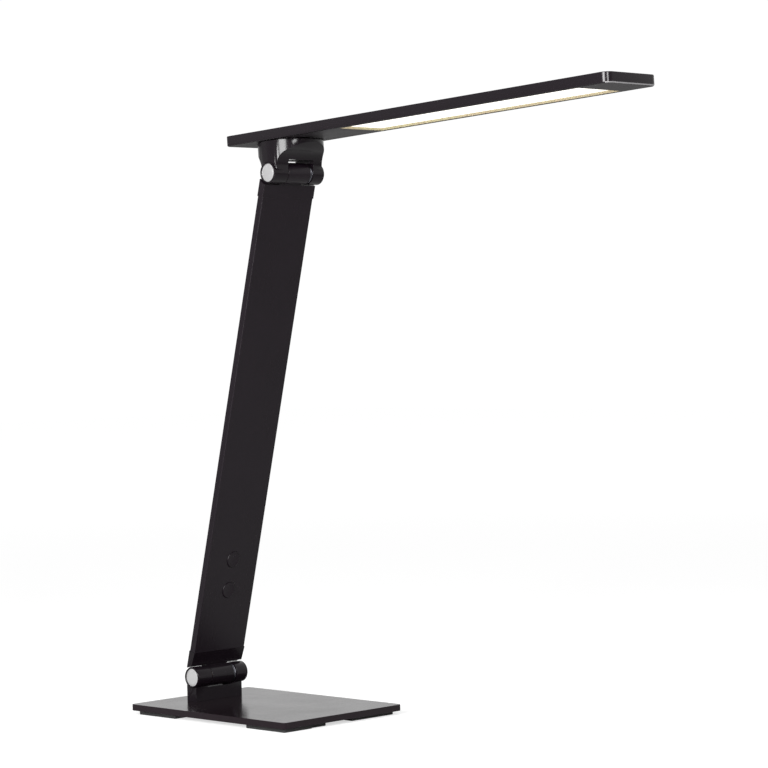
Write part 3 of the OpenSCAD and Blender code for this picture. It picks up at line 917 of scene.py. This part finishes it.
@dataclass
class Base(Assembly):
    """Steel plate on four rubber pads, with the cast pedestal and its power inlet."""

    edge: float = 0.4 * MM
    foot_edge: float = 0.5 * MM
    foot_corner: float = 1.2 * MM
    foot_step: float = 2.1 * MM
    foot_lobe: float = 30 * MM
    screw_r: float = 2 * MM
    screw_head_r: float = 4 * MM
    screw_flat: float = 1.25 * MM
    screw_depth: float = 1.6 * MM
    screw_places: Pair = (-18 * MM, 18 * MM)
    screw_x: float = -60.4 * MM
    inlet_r: float = 3.5 * MM
    inlet_l: float = 8.6 * MM
    bore_r: float = 1.75 * MM
    bore_l: float = 7.6 * MM
    contact_r: float = 0.6 * MM
    contact_start: float = 1 * MM
    inlet_edges: tuple[float, ...] = (
        0.2 * MM, 0.4 * MM, 0.4 * MM, 0.1 * MM, 0.1 * MM, 0.25 * MM,
    )
    inlet_height: float = -14.9 * MM
    inlet_back: float = -8.1 * MM

    def build(self) -> None:
        """Builds every piece of the base."""
        self.soften("plate", "black_plate", Finishes.PLATE, "base_plate", self.edge)
        self.soften("pedestal_cast", "black_casting", Finishes.CASTING, "pedestal", self.edge)
        self.feet()
        self.screws()
        self.inlet()

    def feet(self) -> None:
        """Builds the four pads: two plain ones and two with a step in their end."""
        for node in ("foot_front_left", "foot_front_right", "foot_back_left", "foot_back_right"):
            low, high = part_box(node)
            size = ((high.x - low.x), (high.y - low.y))
            middle = ((high.x + low.x) / 2, (high.y + low.y) / 2)
            corners = rectangle(*size, middle)
            if node in ("foot_front_right", "foot_back_left"):
                corners = self.stepped(size, middle, 1 if node == "foot_front_right" else -1)
            profile = slab_profile(low.z, high.z, self.foot_edge)
            shell = slab(corners, self.foot_corner, profile)
            self.add(shell, node.replace("foot", "pad"), "foot_rubber", Finishes.RUBBER, node)

    def stepped(self, size: tuple, middle: tuple, sign: int) -> list:
        """Corners of the stepped pad, anticlockwise.

        Args:
            size: Length and width.
            middle: Middle of the pad.
            sign: 1 for the front pad and -1 for the back one, which is turned round.

        Returns:
            The corners.
        """
        a, b = size[0] / 2, size[1] / 2
        split, step = self.foot_lobe - b, a - self.foot_step
        local = np.array([(-a, -b), (a, -b), (a, split), (step, split), (step, b), (-a, b)])
        return (sign * local + np.array(middle)).tolist()

    def screws(self) -> None:
        """Builds the two screws that hold the pedestal, seen from below."""
        low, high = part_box("base_screws")
        screw = SocketScrew(
            self.screw_r, self.screw_head_r, high.z - low.z, self.screw_flat, self.screw_depth
        )
        shell = screw.at_places(Axis.Z, [(self.screw_x, y, low.z) for y in self.screw_places])
        self.add(shell, "pedestal_screws", "steel", Finishes.STEEL, "base_screws")

    def inlet(self) -> None:
        """Builds the power inlet: a socket with a rounded mouth and a centre pin."""
        radius, length, bore, depth = self.inlet_r, self.inlet_l, self.bore_r, self.bore_l
        pin, start = self.contact_r, self.contact_start
        profile = rounded_line(
            [(0, length), (radius, length), (radius, 0), (bore, 0), (bore, depth), (pin, depth),
             (pin, start), (0, start)],
            self.inlet_edges,
        )
        shell = revolve(profile, Axis.X).moved((self.inlet_back, 0, self.inlet_height))
        shell = shell.placed(HINGE_POSE)
        self.add(shell, "inlet", "black_plastic", Finishes.PLASTIC, "power_inlet")


@dataclass
class Hinge(Assembly):
    """Pin, nut, washers and end caps of one hinge."""

    prefix: str
    bright: Finishes
    cap_radius: float = 7.3 * MM
    cap_seat: float = 25.75 * MM
    cap_face: float = 26.75 * MM
    cap_edge: float = 0.35 * MM
    seat_edge: float = 0.05 * MM
    groove: float = 0.06 * MM
    groove_slope: float = 3.0
    groove_share: float = 0.82
    washer: float = 7.6 * MM
    washer_edge: float = 0.3 * MM
    washer_count: int = 3
    bore: float = 3.05 * MM
    stack: float = 11.9 * MM
    spring: float = 1.1 * MM
    spring_step: float = 0.5 * MM

    def build(self) -> None:
        """Builds the caps and washers and dresses the pin and the nut."""
        for side, word, finish, slot in (
            (Side.NEAR, "bright", self.bright, "bright_cap"),
            (Side.FAR, "dark", Finishes.CASTING, "black_casting"),
        ):
            name, node = f"{self.prefix}_cap_{word}", f"{self.prefix}_{word}_cap"
            self.add(self.cap(side), name, slot, finish, node)
        washers = joined([self.spring_washer(i) for i in range(self.washer_count)])
        name, node = f"{self.prefix}_washers", f"{self.prefix}_spring_washers"
        self.add(washers, name, "steel", Finishes.SPRING, node)
        steel = (f"{self.prefix}_pin", f"{self.prefix}_nut")
        self.paints.dress_nodes(Finishes.STEEL, *steel)
        self.paints.dress_nodes(Finishes.BRONZE, f"{self.prefix}_friction_washer")

    def cap(self, side: Side) -> Shell:
        """Builds an end cap: a disc with a rounded rim and a shallow ring groove.

        The profile goes from the middle of the face outwards, over the groove and
        the rim, and back along the seat.

        Args:
            side: The hinge's end that the cap closes.

        Returns:
            The cap in the hinge's frame.
        """
        face, seat, radius = self.cap_face, self.cap_seat, self.cap_radius
        ring, cut = self.groove_share * radius, self.groove
        slope = self.groove_slope * cut
        profile = rounded_line(
            [(0, face), (ring - slope, face), (ring, face - cut), (ring + slope, face),
             (radius, face), (radius, seat), (0, seat)],
            [cut, cut, cut, self.cap_edge, self.seat_edge],
        )
        profile[:, 1] *= side.value
        return revolve(profile, Axis.Y)

    def spring_washer(self, place: int) -> Shell:
        """Builds one washer of the stack.

        Args:
            place: Its place in the stack, from 0.

        Returns:
            A ring with rounded edges, as a closed profile turned round Y.
        """
        start = self.stack + place * self.spring
        stop = start + self.spring
        outer = self.washer - self.spring_step * (place % 2)
        corners = [(self.bore, start), (outer, start), (outer, stop), (self.bore, stop)]
        profile, _ = rounded_loop(corners, self.washer_edge)
        return revolve(profile, Axis.Y, ring_shaped=True)


@dataclass
class Button(Assembly):
    """Round push button: dished face, rounded rim, flange and stem."""

    node: str
    place: float
    radius: float = 6.6 * MM
    face: float = -0.1 * MM
    wall: float = -1.9 * MM
    flange: float = 7.6 * MM
    flange_low: float = -2.4 * MM
    stem: float = 1.4 * MM
    tip: float = -3.55 * MM
    rim: float = 1 * MM
    edges: tuple[float, ...] = (0.5 * MM, 0.05 * MM, 0.1 * MM, 0.1 * MM, 0.1 * MM, 0.2 * MM)
    dish: float = 0.35 * MM
    dish_steps: int = 12

    def build(self) -> None:
        """Builds the button.

        The face is a shallow bowl: its depth falls with the square of the radius.
        The profile goes on over the rim, the side, the flange and the stem.
        """
        edge = self.radius - self.rim
        steps = np.linspace(0, 1, self.dish_steps)
        bowl = np.column_stack([edge * steps, self.face - self.dish * (1 - steps**2)])
        rest = rounded_line(
            [(edge, self.face), (self.radius, self.face), (self.radius, self.wall),
             (self.flange, self.wall), (self.flange, self.flange_low),
             (self.stem, self.flange_low), (self.stem, self.tip), (0, self.tip)],
            self.edges,
        )
        shell = revolve(np.vstack([bowl, rest[1:]]), Axis.X).moved((0, 0, self.place))
        name = self.node.replace("button_", "push_")
        self.add(shell, name, "button_plastic", Finishes.BUTTON, self.node)


@dataclass
class Arm(Assembly):
    """Flat tube between two end blocks, with the switch board and cable inside."""

    edge: float = 0.35 * MM
    back: float = -6.7 * MM
    screw: SocketScrew = SocketScrew(1.2 * MM, 2.2 * MM, 4.75 * MM, 0.75 * MM, 0.8 * MM)
    screw_gap: float = 30 * MM
    low_screws: float = 28 * MM
    high_screws: float = 390.3 * MM
    button_low: float = 72 * MM
    button_high: float = 98 * MM

    def build(self) -> None:
        """Builds the end blocks, screws and buttons and dresses the rest."""
        for word, finish in (("lower", Finishes.CASTING), ("upper", Finishes.ARM)):
            node = f"arm_{word}_block"
            self.soften(f"{word}_block", "black_casting", finish, node, self.edge)
        self.screws("lower_block_screws", self.low_screws)
        self.screws("upper_block_screws", self.high_screws)
        for finish, node in (
            (Finishes.ARM, "arm_tube"),
            (Finishes.BOARD, "switch_board"),
            (Finishes.FOAM, "switch_foam"),
            (Finishes.TINNED, "switches"),
            (Finishes.CABLE, "arm_cable"),
        ):
            self.paints.dress_nodes(finish, node)
        for body, word, place in (
            (Body.BUTTON_LOW, "lower", self.button_low),
            (Body.BUTTON_HIGH, "upper", self.button_high),
        ):
            Button(self.paints, body, self.pose, f"button_{word}", place).build()

    def screws(self, node: str, along: float) -> None:
        """Builds the two screws of one end block, in the arm's back.

        Args:
            node: The CAD node that the screws stand for.
            along: Their place along the arm.
        """
        places = [(self.back, side * self.screw_gap / 2, along) for side in (-1, 1)]
        shell = self.screw.at_places(Axis.X, places)
        self.add(shell, node + "_set", "black_screw", Finishes.SCREW, node)


@dataclass
class Neck(Assembly):
    """Cast neck with the friction disc on top and the washer of the swivel bolt."""

    edge: float = 0.35 * MM

    def build(self) -> None:
        """Builds the casting and dresses the rest."""
        self.soften("neck_cast", "black_casting", Finishes.CASTING, "neck", self.edge)
        self.paints.dress_nodes(Finishes.DISC, "friction_disc")
        self.paints.dress_nodes(Finishes.SPRING, "swivel_washer")


@dataclass
class Head(Assembly):
    """Flat housing with its cover, diffuser and light guide."""

    length: float = 396.2 * MM
    width: float = 56.2 * MM
    middle: float = 150.8 * MM
    low: float = 25.65 * MM
    high: float = 33.65 * MM
    ceiling: float = 31.65 * MM
    corner: float = 6.4 * MM
    wall: float = 1.5 * MM
    roof_inset: float = 6 * MM
    inner_edge: float = 0.5 * MM
    edge: float = 0.45 * MM
    lip: float = 0.9 * MM
    cover_edge: float = 0.25 * MM
    light_middle: float = 198 * MM
    light_size: Pair = (240 * MM, 46.5 * MM)
    light_corner: float = 0.4 * MM
    # Size and place of the pale strip on the opening's walls, a painted reflection of the
    # diffuser.
    strip_thickness: float = 0.25 * MM
    strip_edge: float = 0.1 * MM
    strip_low: float = 25.68 * MM
    strip_steps: int = 3
    diffuser_size: Pair = (244 * MM, 50.5 * MM)
    diffuser_corner: float = 0.8 * MM
    diffuser_edge: float = 0.2 * MM
    diffuser_low: float = 27.65 * MM
    diffuser_high: float = 28.65 * MM
    screw: SocketScrew = SocketScrew(1.5 * MM, 2.3 * MM, 7.2 * MM, 0.9 * MM, 1.0 * MM)
    screw_gap: float = 28 * MM

    def build(self) -> None:
        """Builds the housing, cover, diffuser and screws and dresses the rest."""
        self.housing()
        self.soften(
            "underside", "black_plastic", Finishes.UNDERSIDE, "head_cover", self.cover_edge
        )
        # Pale strip on the opening's walls: a painted reflection of the diffuser.
        self.opening_reflection()
        self.diffuser()
        self.screws()
        for finish, nodes in (
            (Finishes.STEEL, ("swivel_bolt", "mounting_block")),
            (Finishes.BOARD, ("driver_board", "led_board")),
            (Finishes.CLEAR, ("light_guide",)),
            (Finishes.SHEET, ("reflector",)),
            (Finishes.PHOSPHOR, ("leds",)),
        ):
            self.paints.dress_nodes(finish, *nodes)

    def housing(self) -> None:
        """Builds the open shell as one profile carried round the head's outline.

        The profile starts under the ceiling, goes down the inner wall, round the
        lip, up the outer side and over the top edge.
        """
        wall, low, high = self.wall, self.low, self.high
        profile = rounded_line(
            [(self.roof_inset, self.ceiling), (wall, self.ceiling), (wall, low), (0, low),
             (0, high), (self.roof_inset, high)],
            [self.inner_edge, self.lip, self.lip, self.edge],
        )
        corners = rectangle(self.length, self.width, (self.middle, 0))
        shell = slab(corners, self.corner, profile)
        self.add(shell, "head_shell", "black_aluminium", Finishes.HEAD, "head_housing")

    def opening_reflection(self) -> None:
        """Builds a thin pale strip on the light opening's walls: a painted reflection of the
        diffuser's light in those black walls.

        Its section is a thin upright strip, carried as a closed profile round the
        opening's outline.
        """
        low, high, thick = self.strip_low, self.diffuser_low, self.strip_thickness
        strip = [(0, low), (thick, low), (thick, high), (0, high)]
        profile, _ = rounded_loop(strip, self.strip_edge, self.strip_steps)
        corners = rectangle(*self.light_size, (self.light_middle, 0))
        shell = slab(corners, self.light_corner, profile, ring_shaped=True)
        self.add(shell, "opening_reflection", "white_sheet", Finishes.PAINTED_REFLECTION)

    def diffuser(self) -> None:
        """Builds the frosted sheet, its edges slightly rounded."""
        corners = rectangle(*self.diffuser_size, (self.light_middle, 0))
        profile = slab_profile(self.diffuser_low, self.diffuser_high, self.diffuser_edge)
        shell = slab(corners, self.diffuser_corner, profile)
        self.add(shell, "opal_sheet", "diffuser", Finishes.OPAL, "diffuser")

    def screws(self) -> None:
        """Builds the four screws round the neck, put in from below."""
        places = [(x, y, self.low) for x, y in rectangle(self.screw_gap, self.screw_gap)]
        shell = self.screw.at_places(Axis.Z, places)
        self.add(shell, "mount_screws", "black_screw", Finishes.SCREW, "head_screws")


# Studio


@dataclass(frozen=True)
class Lamp:
    """Soft box of the studio: a lit rectangle that faces its target."""

    name: str
    place: Triple
    target: Triple
    size: Pair
    power: float

    def build(self) -> None:
        """Puts the lamp at its place, facing its target."""
        data = bpy.data.lights.new(self.name, "AREA")
        data.shape = "RECTANGLE"
        data.size, data.size_y = self.size
        data.energy = self.power
        lamp = bpy.data.objects.new(self.name, data)
        aim = unit(np.array(self.target) - np.array(self.place))
        side = unit(np.cross(aim, (0, 0, 1.0)))
        lamp.matrix_world = turned(side, np.cross(side, aim), -aim, self.place)
        lamp.visible_camera = False
        bpy.context.scene.collection.objects.link(lamp)


def turned(right: np.ndarray, up: np.ndarray, back: np.ndarray, place: tuple) -> Matrix:
    """Puts three axes and a place into a matrix.

    Args:
        right: The X axis.
        up: The Y axis.
        back: The Z axis, away from where a lamp or camera looks.
        place: The origin.

    Returns:
        The matrix, with the axes as its columns.
    """
    return Matrix([[right[i], up[i], back[i], place[i]] for i in range(3)] + [[0, 0, 0, 1]])


LAMP_TARGET = (0.04, 0, 0.4)
LAMPS = (
    Lamp("key", (0.66, -2.10, 0.8), LAMP_TARGET, (0.95, 1.1), 84.0),
    Lamp("second", (2.02, -0.96, 0.85), LAMP_TARGET, (0.55, 1.0), 33.0),
    Lamp("top", (0.0, 0.2, 1.9), (0, 0, 0.2), (1.2, 1.2), 3.0),
)


@dataclass
class Studio:
    """Pale floor, white backdrop, soft boxes and the camera.

    The surroundings are white where the camera sees them. In reflections they are
    white towards the backdrop and the bright side of the room at -X, and fade to
    its dark side at +X and to its near side at -Y.
    """

    floor_size: float = 12.0
    floor_steps: int = 9
    floor_drop: float = 0.0001
    white: float = 1.03
    fill: float = 0.35
    bright_side: float = 0.95
    dark_side: float = 0.75
    along_reach: float = 0.6
    near_side: float = 0.62
    near_reach: float = 0.3
    room_dip: float = 0.5
    dip_reach: Pair = (0.2, 0.5)
    floor_paint: float = 0.5
    floor_roughness: float = 0.9
    floor_lift: Pair = (0.62, 0.82)
    lift_reach: Pair = (0.3, 3.0)
    floor_gloss: float = 0.12
    focal_px: float = 2759.36
    frame_px: float = 768.0
    shift_px: Pair = (-0.5, 0.5)
    sensor: float = 36.0
    nearest: float = 0.05
    azimuth: float = math.radians(44.22)
    pitch: float = math.radians(1.24)
    roll: float = math.radians(-1.13)
    eye: Triple = (1.61863, -1.51846, 0.31189)

    def build(self) -> None:
        """Sets up the studio."""
        bpy.context.scene.view_settings.view_transform = "Standard"
        self.world()
        self.floor()
        for lamp in LAMPS:
            lamp.build()
        self.camera()

    def world(self) -> None:
        """Makes the surroundings: white where seen, a soft fill where they light.

        For glossy rays the strength follows the ray's direction: it falls along X
        from the bright side to the dark one, dips where the ray runs along X alone,
        and is lower for rays towards the near side at -Y.
        """
        world = bpy.data.worlds.new("studio")
        world.use_nodes = True
        tree = Tree.of_world(world)
        direction = tree.add("TexCoord").outputs["Generated"]
        x, y, _ = tree.add("SeparateXYZ", {0: direction}).outputs
        sides = (self.bright_side, self.dark_side)
        room = tree.remap(x, (-self.along_reach, self.along_reach), sides)
        dip = tree.remap(tree.math("ABSOLUTE", y), self.dip_reach, (self.room_dip, 1.0))
        room = tree.math("MULTIPLY", room, dip)
        near = tree.remap(y, (-self.near_reach, self.near_reach), (self.near_side, 1.0))
        room = tree.math("MULTIPLY", room, near)
        seen, glossy = tree.light_path()
        unseen = tree.add("Mix", {"Factor": glossy, 2: self.fill, 3: room}).outputs[0]
        strength = tree.add("Mix", {"Factor": seen, 2: unseen, 3: self.white}).outputs[0]
        background = world.node_tree.nodes["Background"].inputs
        tree.links.new(strength, background["Strength"])
        background["Color"].default_value = WHITE
        bpy.context.scene.world = world

    def floor(self) -> None:
        """Makes the floor: pale paint that takes shadow, lifted to white where seen.

        The lift grows with the distance from the lamp's base, where less light of
        the soft boxes falls, so that the floor meets the backdrop without an edge.
        """
        half = self.floor_size / 2
        steps = np.linspace(-half, half, self.floor_steps)
        x, y = np.meshgrid(steps, steps, indexing="ij")
        points = np.dstack([x, y, np.full_like(x, -self.floor_drop)]).reshape(-1, 3)
        index = np.arange(len(points)).reshape(len(steps), len(steps))
        faces = np.stack([index[:-1, :-1], index[1:, :-1], index[1:, 1:], index[:-1, 1:]], axis=-1)
        mesh = bpy.data.meshes.new("floor")
        mesh.from_pydata(points.tolist(), [], faces.reshape(-1, 4).tolist())
        floor = bpy.data.objects.new("floor", mesh)
        bpy.context.scene.collection.objects.link(floor)
        tree = Tree("pale_floor")
        tree.fix(
            {
                "Base Color": (*(self.floor_paint,) * 3, 1),
                "Roughness": self.floor_roughness,
                "Specular IOR Level": 0.0,
                "Emission Color": WHITE,
            }
        )
        place = tree.add("TexCoord").outputs["Object"]
        far = tree.add("VectorMath", {0: place}, operation="LENGTH").outputs["Value"]
        lift = tree.remap(far, self.lift_reach, self.floor_lift)
        seen, glossy = tree.light_path()
        gloss = tree.math("MULTIPLY", glossy, self.floor_gloss)
        lit = tree.math("MULTIPLY", tree.math("MAXIMUM", seen, gloss), lift)
        tree.join(lit, "Emission Strength")
        mesh.materials.append(tree.material)

    def camera(self) -> None:
        """Puts the camera at the photograph's viewpoint.

        Its back axis comes from azimuth and pitch, its right axis is level, its up
        axis is their cross product, and right and up are then turned by the roll.
        """
        data = bpy.data.cameras.new("camera")
        data.sensor_width = self.sensor
        data.lens = self.focal_px / self.frame_px * self.sensor
        data.shift_x, data.shift_y = (shift / self.frame_px for shift in self.shift_px)
        data.clip_start = self.nearest
        sin_a, cos_a = math.sin(self.azimuth), math.cos(self.azimuth)
        sin_p, cos_p = math.sin(self.pitch), math.cos(self.pitch)
        sin_r, cos_r = math.sin(self.roll), math.cos(self.roll)
        back = np.array([sin_a * cos_p, -cos_a * cos_p, sin_p])
        level = np.array([cos_a, sin_a, 0.0])
        above = np.cross(back, level)
        right = cos_r * level + sin_r * above
        up = cos_r * above - sin_r * level
        camera = bpy.data.objects.new("camera", data)
        camera.matrix_world = turned(right, up, back, self.eye)
        bpy.context.scene.collection.objects.link(camera)
        bpy.context.scene.camera = camera


def main() -> None:
    """Builds the studio and every sub-assembly."""
    logging.basicConfig(level=logging.INFO, format="%(name)s: %(message)s")
    Studio().build()
    paints = Paintbox()
    for part in (
        Base(paints, Body.BASE, PLATE_POSE),
        Hinge(paints, Body.BASE, HINGE_POSE, "lower", Finishes.LOWER_BRIGHT),
        Arm(paints, Body.ARM, ARM_POSE),
        Neck(paints, Body.NECK, HEAD_POSE),
        Hinge(paints, Body.NECK, HEAD_POSE, "upper", Finishes.UPPER_BRIGHT),
        Head(paints, Body.HEAD, HEAD_POSE),
    ):
        part.build()


if __name__ == "__main__":
    main()
